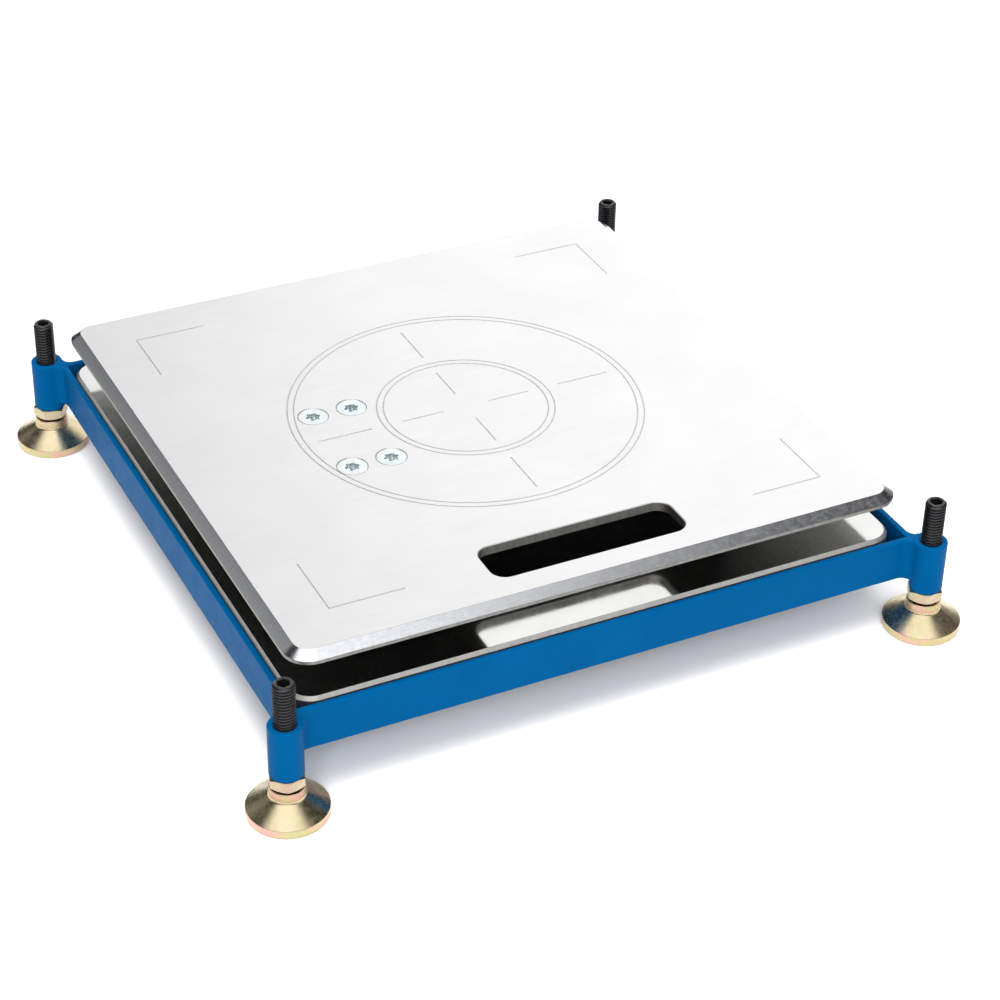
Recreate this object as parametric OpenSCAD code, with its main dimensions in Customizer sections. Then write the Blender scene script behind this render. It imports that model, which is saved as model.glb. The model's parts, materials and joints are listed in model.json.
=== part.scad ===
// Low platform scale pad that stands in a welded levelling frame with four screw jacks.
// +X runs to the right along the edge with the hand slot, +Y to the back, +Z up.
// The origin is on the floor, under the centre of the frame.

/* [Pad] */
// Side of the square top plate
plate_w = 381; // [370:1:384]
// Thickness of the top plate
plate_t = 6.35; // [6:0.05:7]
// Corner radius of the top plate
plate_r = 15.5; // [12:0.5:18]
// Width of the bevel round the top face
bevel_w = 6; // [4:0.5:7]
// Height of the bevel round the top face
bevel_h = 4.1; // [3:0.1:4.5]
// Height of the top face above the floor
top_z = 89.6; // [88.5:0.1:90.5]
// Side of the square base plate
base_w = 379; // [370:0.5:380]
// Thickness of the base plate
base_t = 12.7; // [12:0.1:13]
// Clear gap between the two plates
plate_gap = 23.05; // [22.5:0.05:24]

/* [Hand slot] */
// Length of the hand slot
slot_l = 122; // [110:1:130]
// Width of the hand slot
slot_w = 31.2; // [28:0.2:34]
// Corner radius of the hand slot
slot_r = 9; // [6:0.5:12]
// Distance from the front edge of the plate to the slot
slot_edge = 21.5; // [19:0.5:24]

/* [Load cell] */
// Distance from the pad centre to the middle of each screw group
cell_screw_x = 76; // [74:1:78]
// Offset of the load cell's centre line from the pad centre
cell_y = -2.6; // [-4:0.2:0]
// Screw spacing along the cell
screw_dx = 24.9; // [24:0.1:26]
// Screw spacing across the cell
screw_dy = 59.5; // [58:0.5:61]
// Diameter of the countersunk heads
head_d = 18; // [17:0.5:19]

/* [Frame] */
// Clear inside width of the frame
frame_in = 385; // [383:1:388]
// Thickness of the angle bars
bar_t = 3.6; // [3:0.1:4]
// Height of the angle bars
bar_h = 27; // [25:0.5:29]
// Width of the inward ledge, with the bar
ledge_w = 28; // [25:1:32]
// Height of the frame's underside above the floor
bar_z = 32.7; // [32:0.1:33.5]
// Distance of each jack axis from the centre, in X and in Y
jack_pos = 202.6; // [201.5:0.1:203.5]
// Outside diameter of the jack tubes
tube_d = 19.6; // [18.5:0.1:20.5]

/* [Jacks] */
// Outside diameter of the jack screw's thread
screw_d = 12.4; // [12:0.1:12.7]
// Height of the jack screw's top above the floor
screw_top = 87.8; // [85:0.1:89]
// Width of the jam nut across its flats
nut_af = 19.05; // [18:0.05:19.5]
// Diameter of the foot's disc
foot_d = 46.4; // [44:0.2:50]
// Diameter of the foot's collar
collar_d = 20.3; // [19.5:0.1:21]

/* [Hidden] */
$fn = 64;
e = 0.01;                                   // overlap of a cutter past the face it opens

// The pad stands a little left of centre in its clearance inside the frame.
pad_x = -2;
base_top = top_z - plate_t - plate_gap;
base_bot = base_top - base_t;
ledge_top = bar_z + bar_t;
frame_out = frame_in + 2 * bar_t;
frame_top = bar_z + bar_h;
corners = [[-1, -1], [1, -1], [-1, 1], [1, 1]];   // front left, front right, back left, back right

// Jack heights, from the floor up
rim_h = 5.5;
collar_low = 13.4;
collar_top = 19.5;
nut_low = 20.7;
nut_h = 6.9;
tube_low = 27.8;
tube_top = 60.2;
fit_gap = 0.05;                             // radial running clearance of the screw
ball_z = 11;
ball_r = 5.5;
neck_r = 4.3;
shoulder_z = 20.5;                          // where the thread starts, above the neck
socket_r = 7.4;
shell_r = 7.1;                              // outside of the seat and of the ring
shell_split = 0.9;                          // half the space between the seat and the ring
hex_af = 6.35;

// Load cell stack
spacer_t = 2.5;
pocket_d = base_t / 2;
cell_low = base_top - pocket_d + spacer_t;
cell_high = top_z - plate_t - spacer_t;
cell_l = 2 * (cell_screw_x + 25);
cell_w = 84;
spacer_l = 50;
shank_d = 9.9;
hole_d = 10.5;
cell_screw_len = 26;

// Engraving: a plain centring target
line_w = 0.9;
line_d = 0.4;

// Electronics box, standing on the base plate at its right-hand edge
box_x = [pad_x + 126, pad_x + 182];
box_y = [-34, 74];
box_h = 19;
box_wall = 2;
board_z = base_top + 6;
gland_y = 32;
gland_z = base_top + 10;
cable_y = 16;
button_y = 10;
button_z = base_top + 10;
lens_y = 34;

module in_corners() {
  for (c = corners) translate([c.x * jack_pos, c.y * jack_pos, 0]) children();
}

// A square outline with round corners, centred on the origin
module round_rect(w, d, r) {
  square([w - 2 * r, d], center = true);
  square([w, d - 2 * r], center = true);
  for (x = [-1, 1], y = [-1, 1]) translate([x * (w / 2 - r), y * (d / 2 - r)]) circle(r);
}

// A square plate with round corners and a bevel round its top
module bevelled_plate(w, t, r, bw, bh) {
  flat = w / 2 - r;
  linear_extrude(t - bh) round_rect(w, w, r);
  side = [[-w / 2, t - bh], [w / 2, t - bh], [w / 2 - bw, t], [bw - w / 2, t]];
  for (turn = [0, 90]) rotate([0, 0, turn])
    rotate([90, 0, 0]) translate([0, 0, -flat]) linear_extrude(2 * flat) polygon(side);
  for (x = [-1, 1], y = [-1, 1]) translate([x * flat, y * flat, t - bh])
    cylinder(r1 = r, r2 = r - bw, h = bh);
}

// The four screw places of one group
module screw_group(side) {
  for (x = [-1, 1], y = [-1, 1])
    translate([pad_x + side * cell_screw_x + x * screw_dx / 2, cell_y + y * screw_dy / 2, 0])
      children();
}

// A countersunk hole with its face at z = 0, going down
module countersink(d, depth) {
  translate([0, 0, -depth - e]) cylinder(d = d, h = depth + 2 * e);
  sink = (head_d + 0.4 - d) / 2;
  translate([0, 0, -sink - 0.3]) cylinder(r1 = d / 2, r2 = d / 2 + sink, h = sink);
  translate([0, 0, -0.3]) cylinder(d = head_d + 0.4, h = 0.3 + e);
}

// A countersunk screw with its head's face at z = 0, going down
module flat_screw() {
  sink = (head_d - shank_d) / 2;
  difference() {
    union() {
      translate([0, 0, -cell_screw_len]) cylinder(d = shank_d, h = cell_screw_len - 0.1);
      translate([0, 0, -sink - 0.25]) cylinder(r1 = shank_d / 2, r2 = head_d / 2, h = sink);
      translate([0, 0, -0.25]) cylinder(d = head_d, h = 0.25);
    }
    for (turn = [0, 60, 120]) rotate([0, 0, turn]) translate([-4.4, -1, -3]) cube([8.8, 2, 4]);
    translate([0, 0, -3]) cylinder(r = 3.2, h = 4);
  }
}

// One bar of the frame, along the front: an angle with mitred ends and an inward ledge
module frame_bar(turn) {
  o = frame_out / 2;
  i = frame_in / 2;
  l = o - ledge_w;
  color("dodgerblue") rotate([0, 0, turn]) translate([0, 0, bar_z]) difference() {
    union() {
      linear_extrude(bar_h) polygon([[-o, -o], [o, -o], [i, -i], [-i, -i]]);
      linear_extrude(bar_t) polygon([[-o, -o], [o, -o], [l, -l], [-l, -l]]);
    }
    for (x = [-1, 1]) translate([x * jack_pos, -jack_pos, -1]) cylinder(d = tube_d, h = bar_h + 2);
  }
}

// The outline of one corner's two hollow welds, which blend the bars into the jack tube
module weld_outline() {
  o = frame_out / 2;
  r = 6;                                     // radius of the hollow weld
  toe = 0.3;
  reach = r + tube_d / 2 + toe;
  away = o + r + toe - jack_pos;
  c = jack_pos - sqrt(reach * reach - away * away);
  f = o + r + toe;
  difference() {
    polygon([[c, o], [c, f], [jack_pos, jack_pos], [f, c], [o, c], [o, o]]);
    translate([c, f]) circle(r);
    translate([f, c]) circle(r);
    translate([jack_pos, jack_pos]) circle(d = tube_d);
  }
}

module corner_welds() {
  color("dodgerblue") for (turn = [0:90:270]) rotate([0, 0, turn])
    translate([0, 0, bar_z]) linear_extrude(bar_h) weld_outline();
}

module jack_tube() {
  bore = screw_d / 2 + fit_gap;
  color("dodgerblue") difference() {
    union() {
      translate([0, 0, tube_low]) cylinder(d = tube_d, h = tube_top - tube_low - 0.6);
      translate([0, 0, tube_top - 0.6])
        cylinder(r1 = tube_d / 2, r2 = tube_d / 2 - 0.6, h = 0.6);
    }
    translate([0, 0, tube_low - 1]) cylinder(r = bore, h = tube_top);
    translate([0, 0, tube_top - 0.5]) cylinder(r1 = bore, r2 = bore + 0.5, h = 0.5 + e);
  }
}

module jack_screw() {
  color("black") difference() {
    union() {
      translate([0, 0, shoulder_z]) cylinder(r1 = screw_d / 2 - 1.2, r2 = screw_d / 2, h = 1.2);
      translate([0, 0, shoulder_z + 1.2])
        cylinder(d = screw_d, h = screw_top - shoulder_z - 2.4);
      translate([0, 0, screw_top - 1.2])
        cylinder(r1 = screw_d / 2, r2 = screw_d / 2 - 1.2, h = 1.2);
      translate([0, 0, ball_z]) cylinder(r = neck_r, h = shoulder_z + 0.5 - ball_z);
      translate([0, 0, ball_z]) sphere(ball_r);
    }
    translate([0, 0, screw_top - 8])
      cylinder(r = hex_af / sqrt(3), h = 9, $fn = 6);
  }
}

module jam_nut() {
  lift = 1.4;                               // height of the corner chamfers
  color("gold") difference() {
    intersection() {
      translate([0, 0, nut_low]) cylinder(r = nut_af / sqrt(3), h = nut_h, $fn = 6);
      translate([0, 0, nut_low]) rotate_extrude() polygon([[0, 0], [nut_af / 2 - 0.3, 0],
        [nut_af / 2 + 2, lift], [nut_af / 2 + 2, nut_h - lift], [nut_af / 2 - 0.3, nut_h],
        [0, nut_h]]);
    }
    translate([0, 0, nut_low - 1]) cylinder(r = screw_d / 2 + fit_gap, h = nut_h + 2);
  }
}

// The cup under the screw's ball
module ball_seat() {
  color("white") intersection() {
    translate([0, 0, ball_z]) difference() {
      sphere(shell_r);
      sphere(ball_r + fit_gap);
    }
    cylinder(r = 2 * shell_r, h = ball_z - shell_split);
  }
}

// The ring over the ball, which keeps the foot on the screw
module retaining_ring() {
  color("silver") intersection() {
    translate([0, 0, ball_z]) difference() {
      sphere(shell_r);
      sphere(ball_r + 0.3);
    }
    translate([0, 0, ball_z + shell_split]) cylinder(r = 2 * shell_r, h = 2.1);
  }
}

module foot() {
  mouth_r = 6;
  sole_r = foot_d / 2 - 0.6;
  color("gold") difference() {
    rotate_extrude() polygon([[0, 0], [sole_r, 0], [foot_d / 2, 0.6], [foot_d / 2, rim_h],
      [collar_d / 2 + 1.2, collar_low - 0.9], [collar_d / 2, collar_low],
      [collar_d / 2, collar_top - 0.5], [collar_d / 2 - 0.5, collar_top], [0, collar_top]]);
    translate([0, 0, ball_z]) sphere(socket_r);
    translate([0, 0, ball_z]) cylinder(r = mouth_r, h = collar_top);
  }
}

// One engraved line from one point to another
module groove(a, b) {
  d = b - a;
  translate([pad_x + a.x, a.y, top_z - line_d]) rotate([0, 0, atan2(d.y, d.x)])
    translate([0, -line_w / 2, 0]) cube([norm(d), line_w, line_d + 1]);
}

module ring_groove(r) {
  translate([pad_x, 0, top_z - line_d]) difference() {
    cylinder(r = r + line_w / 2, h = line_d + 1, $fn = 96);
    translate([0, 0, -1]) cylinder(r = r - line_w / 2, h = line_d + 3, $fn = 96);
  }
}

module engraving() {
  bracket = [155, 110];                      // corner marks: from the corner, and their ends
  for (r = [50, 54, 104, 108]) ring_groove(r);
  for (x = [-1, 1], y = [-1, 1]) {
    groove([x * bracket[0], y * bracket[0]], [x * bracket[1], y * bracket[0]]);
    groove([x * bracket[0], y * bracket[0]], [x * bracket[0], y * bracket[1]]);
  }
  for (u = [[1, 0], [-1, 0], [0, 1], [0, -1]]) groove(15 * u, 42 * u);
  for (u = [[1, 0], [-1, 0], [0, 1], [0, -1]]) groove(62 * u, 96 * u);
}

module top_plate() {
  slot_y = -plate_w / 2 + slot_edge + slot_w / 2;
  color("whitesmoke") difference() {
    translate([pad_x, 0, top_z - plate_t])
      bevelled_plate(plate_w, plate_t, plate_r, bevel_w, bevel_h);
    translate([pad_x, slot_y, top_z - plate_t - 1])
      linear_extrude(plate_t + 2) round_rect(slot_l, slot_w, slot_r);
    translate([0, 0, top_z]) screw_group(-1) countersink(hole_d, plate_t);
    engraving();
  }
}

module plate_screws() {
  color("silver") translate([0, 0, top_z]) screw_group(-1) flat_screw();
}

module base_screws() {
  color("silver") translate([0, 0, base_bot]) screw_group(1) mirror([0, 0, 1]) flat_screw();
}

module cell_spacer(side, z) {
  color("silver") difference() {
    translate([pad_x + side * cell_screw_x - spacer_l / 2, cell_y - cell_w / 2, z])
      cube([spacer_l, cell_w, spacer_t]);
    translate([0, 0, z - 1]) screw_group(side) cylinder(d = hole_d, h = spacer_t + 2);
  }
}

// A bending beam: two round windows joined by a slit make its four thin flexures
module load_cell() {
  mid = (cell_low + cell_high) / 2;
  window_r = 8.6;
  window_x = 12.6;
  tap_d = shank_d + 0.1;
  color("lightgray") difference() {
    translate([pad_x - cell_l / 2, cell_y - cell_w / 2, cell_low])
      cube([cell_l, cell_w, cell_high - cell_low]);
    for (x = [-1, 1]) translate([pad_x + x * window_x, cell_y + cell_w, mid])
      rotate([90, 0, 0]) cylinder(r = window_r, h = 2 * cell_w);
    translate([pad_x - window_x, cell_y - cell_w, mid - 1.5]) cube([2 * window_x, 2 * cell_w, 3]);
    screw_group(-1) translate([0, 0, cell_high - 19]) cylinder(d = tap_d, h = 20);
    screw_group(1) translate([0, 0, cell_low - 1]) cylinder(d = tap_d, h = 20);
    translate([pad_x + cell_l / 2 - 6, cable_y, gland_z]) rotate([0, 90, 0]) cylinder(d = 5, h = 7);
  }
}

// Sealed covers over the strain gauges, on both faces of the beam
module gauge_covers() {
  color("ivory") for (z = [cell_low - 0.8, cell_high])
    translate([pad_x - 24, cell_y - 22, z]) cube([48, 44, 0.8]);
}

module base_plate() {
  pocket_l = cell_l + 10;
  color("silver") difference() {
    translate([pad_x, 0, base_bot]) bevelled_plate(base_w, base_t, 15, 2, 2);
    translate([pad_x, cell_y, base_top - pocket_d])
      linear_extrude(base_t) round_rect(pocket_l, cell_w + 10, 6);
    translate([0, 0, base_bot]) screw_group(1) mirror([0, 0, 1]) countersink(hole_d, base_t);
    stop_places() translate([0, 0, base_bot - 1]) cylinder(d = 8.1, h = base_t + 2);
    foot_places() translate([0, 0, base_bot - 1]) cylinder(d = 5.1, h = 9);
  }
}

module stop_places() {
  for (x = [-1, 1], y = [-1, 1]) translate([pad_x + x * 112, y * 125, 0]) children();
}

module foot_places() {
  for (x = [-1, 1], y = [-1, 1]) translate([pad_x + x * 172, y * 172, 0]) children();
}

// Rubber feet, by which the pad stands on the frame's ledges
module pad_feet() {
  h = base_bot - ledge_top;
  color("dimgray") foot_places() translate([0, 0, ledge_top]) difference() {
    union() {
      cylinder(r1 = 12.4, r2 = 13, h = 1.5);
      translate([0, 0, 1.5]) cylinder(r1 = 13, r2 = 14, h = h - 1.5);
    }
    translate([0, 0, -1]) cylinder(d = 9.6, h = 6);
    translate([0, 0, 4]) cylinder(d = 5.1, h = h);
  }
}

module pad_foot_screws() {
  color("silver") foot_places() {
    translate([0, 0, ledge_top + 2]) cylinder(d = 9.2, h = 3);
    translate([0, 0, ledge_top + 4]) cylinder(d = 5, h = base_bot - ledge_top + 2);
  }
}

// Screws that catch the top plate before the cell is overloaded
module overload_stops() {
  color("gray") stop_places() difference() {
    translate([0, 0, base_bot + 1]) cylinder(d = 8, h = top_z - plate_t - base_bot - 2);
    translate([0, 0, base_bot]) cylinder(r = 4 / sqrt(3), h = 5, $fn = 6);
  }
}

module stop_nuts() {
  color("silver") stop_places() translate([0, 0, base_top]) difference() {
    cylinder(r = 13 / sqrt(3), h = 5, $fn = 6);
    translate([0, 0, -1]) cylinder(d = 8.1, h = 7);
  }
}

// The places of the four lid screws
module lid_places() {
  for (x = [box_x[0] + 5, box_x[1] - 5], y = [box_y[0] + 5, box_y[1] - 5])
    translate([x, y, 0]) children();
}

module electronics_box() {
  size = [box_x[1] - box_x[0], box_y[1] - box_y[0]];
  color("dimgray") difference() {
    union() {
      difference() {
        translate([box_x[0], box_y[0], base_top]) cube([size.x, size.y, box_h - box_wall]);
        translate([box_x[0] + box_wall, box_y[0] + box_wall, base_top + box_wall])
          cube([size.x - 2 * box_wall, size.y - 2 * box_wall, box_h]);
      }
      lid_places() translate([0, 0, base_top + 1]) cylinder(d = 7, h = box_h - box_wall - 1);
    }
    lid_places() translate([0, 0, base_top + 5]) cylinder(d = 2.6, h = box_h);
    translate([box_x[0] - 1, gland_y, gland_z]) rotate([0, 90, 0]) cylinder(d = 8, h = 5);
    translate([box_x[1] - 5, button_y, button_z]) rotate([0, 90, 0]) cylinder(d = 11, h = 7);
    translate([box_x[1] - 5, lens_y, button_z]) rotate([0, 90, 0]) cylinder(d = 5, h = 7);
  }
}

module electronics_lid() {
  color("dimgray") difference() {
    translate([box_x[0], box_y[0], base_top + box_h - box_wall])
      cube([box_x[1] - box_x[0], box_y[1] - box_y[0], box_wall]);
    lid_places() translate([0, 0, base_top]) cylinder(d = 3.2, h = 2 * box_h);
  }
}

module lid_screws() {
  color("silver") lid_places() {
    translate([0, 0, base_top + 7]) cylinder(d = 2.5, h = box_h - 7 + e);
    translate([0, 0, base_top + box_h]) difference() {
      cylinder(d1 = 5.4, d2 = 4.6, h = 1.6);
      translate([0, 0, 0.6]) cylinder(r = 1.2, h = 2, $fn = 6);
    }
  }
}

module circuit_board() {
  color("green") translate([box_x[0] + 4, box_y[0] + 12, board_z]) {
    cube([46, 30, 1.6]);
    translate([5, 5, 1.6]) cube([18, 14, 2.4]);
    translate([28, 6, 1.6]) cube([9, 9, 1.4]);
    translate([28, 19, 1.6]) cube([12, 6, 2]);
    for (x = [4, 42], y = [3, 27]) translate([x, y, -4]) cylinder(d = 4, h = 4);
  }
}

module battery_holder() {
  color("black") difference() {
    translate([box_x[0] + 3, box_y[1] - 60, base_top + 2]) cube([49, 53, 9]);
    for (i = [0:2]) translate([box_x[0] + 11.5 + 16 * i, box_y[1] - 58.2, base_top + 10])
      rotate([-90, 0, 0]) cylinder(d = 14.7, h = 49.4);
    lid_places() translate([0, 0, base_top]) cylinder(d = 7.6, h = box_h);
  }
}

module battery_cells() {
  color("orange") for (i = [0:2])
    translate([box_x[0] + 11.5 + 16 * i, box_y[1] - 57.8, base_top + 9.6]) rotate([-90, 0, 0]) {
      cylinder(d = 13.7, h = 47.6);
      cylinder(d = 5, h = 48.6);
    }
}

// A stub aerial on the back of the box
module antenna() {
  color("black") translate([box_x[0] + 12, box_y[1], base_top + 9]) rotate([-90, 0, 0]) {
    cylinder(d = 10, h = 4);
    translate([0, 0, 4]) cylinder(d1 = 8, d2 = 6.4, h = 44);
    translate([0, 0, 48]) intersection() {
      sphere(r = 3.2);
      translate([0, 0, 4]) cube(8, center = true);
    }
  }
}

module cable_gland() {
  color("black") translate([box_x[0], gland_y, gland_z]) rotate([0, -90, 0]) difference() {
    union() {
      translate([0, 0, -2.6]) cylinder(d = 7.9, h = 3.6);
      cylinder(r = 12 / sqrt(3), h = 3.5, $fn = 6);
      translate([0, 0, 3.4]) cylinder(d1 = 11, d2 = 8, h = 4.6);
    }
    translate([0, 0, -5]) cylinder(d = 5.1, h = 15);
  }
}

// The cell's cable: straight out of the beam, an easy bend, straight into the gland
cable_d = 4.8;
cable_rings = 18;
cable_start = pad_x + cell_l / 2 - 5.8;
cable_end = box_x[0] + 3;
function ease(t) = t * t * (3 - 2 * t);
function cable_at(t) = let (s = min(1, max(0, (t - 0.2) / 0.45)))
  [cable_start + (cable_end - cable_start) * t, cable_y + (gland_y - cable_y) * ease(s), gland_z];

module cell_cable() {
  sides = 10;
  pts = [for (i = [0:cable_rings]) cable_at(i / cable_rings)];
  ring = function(i) let (a = pts[max(0, i - 1)], b = pts[min(cable_rings, i + 1)],
    u = (b - a) / norm(b - a), n = [-u.y, u.x, 0])
    [for (k = [0:sides - 1]) pts[i] + cable_d / 2 * (cos(360 * k / sides) * n
      + [0, 0, sin(360 * k / sides)])];
  skin = [for (i = [0:cable_rings - 1], k = [0:sides - 1]) let (n = (k + 1) % sides)
    [i * sides + k, i * sides + n, (i + 1) * sides + n, (i + 1) * sides + k]];
  caps = [[for (k = [sides - 1:-1:0]) k], [for (k = [0:sides - 1]) cable_rings * sides + k]];
  color("black") polyhedron([for (i = [0:cable_rings]) each ring(i)], concat(skin, caps));
}

module button_bezel() {
  color("silver") translate([box_x[1], button_y, button_z]) rotate([0, 90, 0]) difference() {
    union() {
      cylinder(d1 = 16, d2 = 14, h = 1.6);
      translate([0, 0, -1.9]) cylinder(d = 10.9, h = 2);
    }
    translate([0, 0, -3]) cylinder(d = 9.4, h = 6);
  }
}

module status_lens() {
  color("lime") translate([box_x[1], lens_y, button_z]) rotate([0, 90, 0]) {
    translate([0, 0, -1.9]) cylinder(d = 4.9, h = 2.4);
    translate([0, 0, 0.5]) cylinder(d1 = 4.9, d2 = 3.9, h = 0.6);
  }
}

module power_button() {
  color("red") translate([box_x[1], button_y, button_z]) rotate([0, 90, 0]) {
    translate([0, 0, -1]) cylinder(d = 9.3, h = 3.7);
    translate([0, 0, 2.7]) cylinder(d1 = 9.3, d2 = 7.9, h = 0.6);
  }
}

// One of the four jack places
module at_jack(n) {
  translate([corners[n].x * jack_pos, corners[n].y * jack_pos, 0]) children();
}

frame_bar(0);  // frame_front
frame_bar(90);  // frame_right
frame_bar(180);  // frame_back
frame_bar(270);  // frame_left
corner_welds();
at_jack(0) jack_tube();  // tube_fl
at_jack(1) jack_tube();  // tube_fr
at_jack(2) jack_tube();  // tube_bl
at_jack(3) jack_tube();  // tube_br
at_jack(0) jack_screw();  // jack_screw_fl
at_jack(1) jack_screw();  // jack_screw_fr
at_jack(2) jack_screw();  // jack_screw_bl
at_jack(3) jack_screw();  // jack_screw_br
at_jack(0) jam_nut();  // jam_nut_fl
at_jack(1) jam_nut();  // jam_nut_fr
at_jack(2) jam_nut();  // jam_nut_bl
at_jack(3) jam_nut();  // jam_nut_br
at_jack(0) ball_seat();  // ball_seat_fl
at_jack(1) ball_seat();  // ball_seat_fr
at_jack(2) ball_seat();  // ball_seat_bl
at_jack(3) ball_seat();  // ball_seat_br
at_jack(0) retaining_ring();  // retaining_ring_fl
at_jack(1) retaining_ring();  // retaining_ring_fr
at_jack(2) retaining_ring();  // retaining_ring_bl
at_jack(3) retaining_ring();  // retaining_ring_br
at_jack(0) foot();  // foot_fl
at_jack(1) foot();  // foot_fr
at_jack(2) foot();  // foot_bl
at_jack(3) foot();  // foot_br
top_plate();
plate_screws();
cell_spacer(-1, cell_high);  // cell_spacer_upper
load_cell();
gauge_covers();
cell_spacer(1, cell_low - spacer_t);  // cell_spacer_lower
base_screws();
base_plate();
pad_feet();
pad_foot_screws();
overload_stops();
stop_nuts();
electronics_box();
electronics_lid();
lid_screws();
circuit_board();
battery_holder();
battery_cells();
antenna();
cable_gland();
cell_cable();
button_bezel();
status_lens();
power_button();
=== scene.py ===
# The looks of the platform scale pad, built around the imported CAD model.
# Shapes are worked out in millimetres and written to meshes in metres.
import json
import math

import bmesh
import bpy
from mathutils import Matrix, Vector


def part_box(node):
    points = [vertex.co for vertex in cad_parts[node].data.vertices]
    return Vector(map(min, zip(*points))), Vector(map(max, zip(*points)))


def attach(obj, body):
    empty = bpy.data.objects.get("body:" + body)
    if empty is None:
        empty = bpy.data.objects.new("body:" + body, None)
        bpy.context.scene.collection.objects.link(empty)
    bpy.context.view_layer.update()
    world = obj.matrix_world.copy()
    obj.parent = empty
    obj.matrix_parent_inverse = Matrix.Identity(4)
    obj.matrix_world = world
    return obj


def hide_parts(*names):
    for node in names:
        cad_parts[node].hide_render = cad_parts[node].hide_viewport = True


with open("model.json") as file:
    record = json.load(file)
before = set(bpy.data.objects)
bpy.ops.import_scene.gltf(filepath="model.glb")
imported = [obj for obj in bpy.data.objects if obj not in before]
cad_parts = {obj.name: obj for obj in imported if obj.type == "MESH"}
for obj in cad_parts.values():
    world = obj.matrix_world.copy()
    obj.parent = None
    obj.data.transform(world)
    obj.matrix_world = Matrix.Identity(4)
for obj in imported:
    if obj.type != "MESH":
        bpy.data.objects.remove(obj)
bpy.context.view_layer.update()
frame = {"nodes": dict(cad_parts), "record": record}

MM = 0.001
CORNERS = {"fl": (-1, -1), "fr": (1, -1), "bl": (-1, 1), "br": (1, 1)}


def box_mm(node):
    """The lowest and highest corners of a CAD node, in millimetres."""
    low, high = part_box(node)
    return low / MM, high / MM


# ---------------------------------------------------------------- camera, floor and light

plate_low, plate_high = box_mm("top_plate")
PLATE_X = (plate_low.x + plate_high.x) / 2
PLATE_TOP = plate_high.z

VIEW_AZIMUTH = math.radians(-26.68)
VIEW_ELEVATION = math.radians(34.12)
VIEW_ROLL = math.radians(1.26)
VIEW_DISTANCE = 1572.7
VIEW_SHIFT = (-0.0132, 0.0361)          # how far the plate's centre is off the view's axis
LENS = 93.6


def make_camera():
    """A camera turned, rolled and shifted about the middle of the top plate."""
    back = Vector((math.sin(VIEW_AZIMUTH) * math.cos(VIEW_ELEVATION),
                   -math.cos(VIEW_AZIMUTH) * math.cos(VIEW_ELEVATION),
                   math.sin(VIEW_ELEVATION)))
    level = (-back).cross(Vector((0, 0, 1))).normalized()
    upright = level.cross(-back)
    turn_c, turn_s = math.cos(VIEW_ROLL), math.sin(VIEW_ROLL)
    right = turn_c * level + turn_s * upright
    up = -turn_s * level + turn_c * upright
    target = Vector((PLATE_X, 0, PLATE_TOP))
    place = target + VIEW_DISTANCE * (back - VIEW_SHIFT[0] * right - VIEW_SHIFT[1] * up)
    camera = bpy.data.objects.new("camera", bpy.data.cameras.new("camera"))
    turned = Matrix((right, up, back)).transposed().to_4x4()
    camera.matrix_world = Matrix.Translation(place * MM) @ turned
    camera.data.lens = LENS
    camera.data.clip_end = 50
    bpy.context.scene.collection.objects.link(camera)
    bpy.context.scene.camera = camera


# Each soft panel: its direction, the angles in degrees where it starts to fade and is gone, its strength
PANELS = [((0.57, 0.69, 0.47), 15, 35, 1.31),
          ((-0.18, -0.28, 0.95), 23, 39, 1.62),
          ((-0.45, -0.80, 0.40), 16, 40, 0.45),
          ((-0.72, 0.62, 0.12), 14, 34, 0.85),
          ((0.74, -0.62, 0.26), 16, 40, 0.85)]
DARK = 0.035                             # the studio's light between the panels
LIGHT_COLOR = (1.0, 0.995, 0.985, 1)
BACKDROP = (0.93, 0.93, 0.93, 1)         # what the camera sees behind the floor
FLOOR_COLOR = (0.92, 0.915, 0.91, 1)


def make_world():
    """A dark studio with five soft white panels, as smooth patches of light by direction."""
    world = bpy.data.worlds.new("studio")
    bpy.context.scene.world = world
    world.use_nodes = True
    tree = world.node_tree
    tree.nodes.clear()
    coords = tree.nodes.new("ShaderNodeTexCoord")
    total = None
    for direction, inner, outer, strength in PANELS:
        dot = tree.nodes.new("ShaderNodeVectorMath")
        dot.operation = "DOT_PRODUCT"
        dot.inputs[1].default_value = Vector(direction).normalized()
        tree.links.new(coords.outputs["Generated"], dot.inputs[0])
        patch = tree.nodes.new("ShaderNodeMapRange")
        patch.interpolation_type = "SMOOTHSTEP"
        patch.inputs["From Min"].default_value = math.cos(math.radians(outer))
        patch.inputs["From Max"].default_value = math.cos(math.radians(inner))
        patch.inputs["To Max"].default_value = strength
        tree.links.new(dot.outputs["Value"], patch.inputs["Value"])
        if total is None:
            total = patch.outputs["Result"]
        else:
            add = tree.nodes.new("ShaderNodeMath")
            tree.links.new(total, add.inputs[0])
            tree.links.new(patch.outputs["Result"], add.inputs[1])
            total = add.outputs["Value"]
    base = tree.nodes.new("ShaderNodeMath")
    base.inputs[1].default_value = DARK
    tree.links.new(total, base.inputs[0])
    light = tree.nodes.new("ShaderNodeBackground")
    light.inputs["Color"].default_value = LIGHT_COLOR
    tree.links.new(base.outputs["Value"], light.inputs["Strength"])
    seen = tree.nodes.new("ShaderNodeBackground")
    seen.inputs["Color"].default_value = BACKDROP
    ray = tree.nodes.new("ShaderNodeLightPath")
    pick = tree.nodes.new("ShaderNodeMixShader")
    out = tree.nodes.new("ShaderNodeOutputWorld")
    tree.links.new(ray.outputs["Is Camera Ray"], pick.inputs[0])
    tree.links.new(light.outputs[0], pick.inputs[1])
    tree.links.new(seen.outputs[0], pick.inputs[2])
    tree.links.new(pick.outputs[0], out.inputs["Surface"])


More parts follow.
